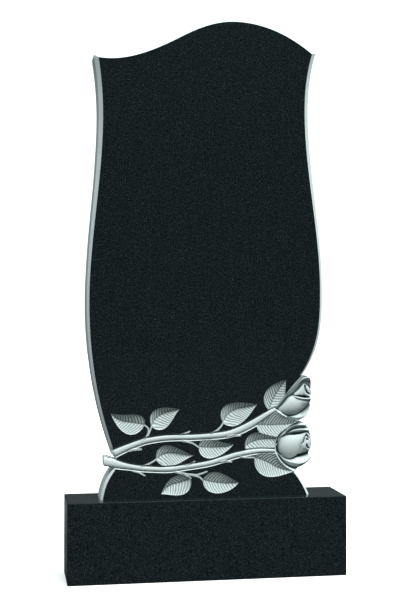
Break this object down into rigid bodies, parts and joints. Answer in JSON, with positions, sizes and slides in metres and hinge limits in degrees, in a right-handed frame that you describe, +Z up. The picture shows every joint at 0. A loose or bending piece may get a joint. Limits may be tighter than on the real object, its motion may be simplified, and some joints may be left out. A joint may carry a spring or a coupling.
{
  "type": "headstone",
  "caption": "Waisted granite headstone with a slanting crown, a spray of roses carved low on its front and into its right edge, and small splayed feet on a rectangular plinth.",
  "frame": {"origin": "centre of the plinth's flat underside, on the ground", "axes": "+X to the right as seen from the front, +Y to the back, away from the carved face, +Z up"},
  "size_m": [0.7, 0.15, 1.391],
  "materials": {
    "stele_granite": "mirror-polished black granite front and back, frosted grey where it is bevelled and carved",
    "plinth_granite": "mirror-polished black granite"
  },
  "bodies": {
    "root": {"stele": "stele_granite", "plinth": "plinth_granite"}
  },
  "joints": []
}
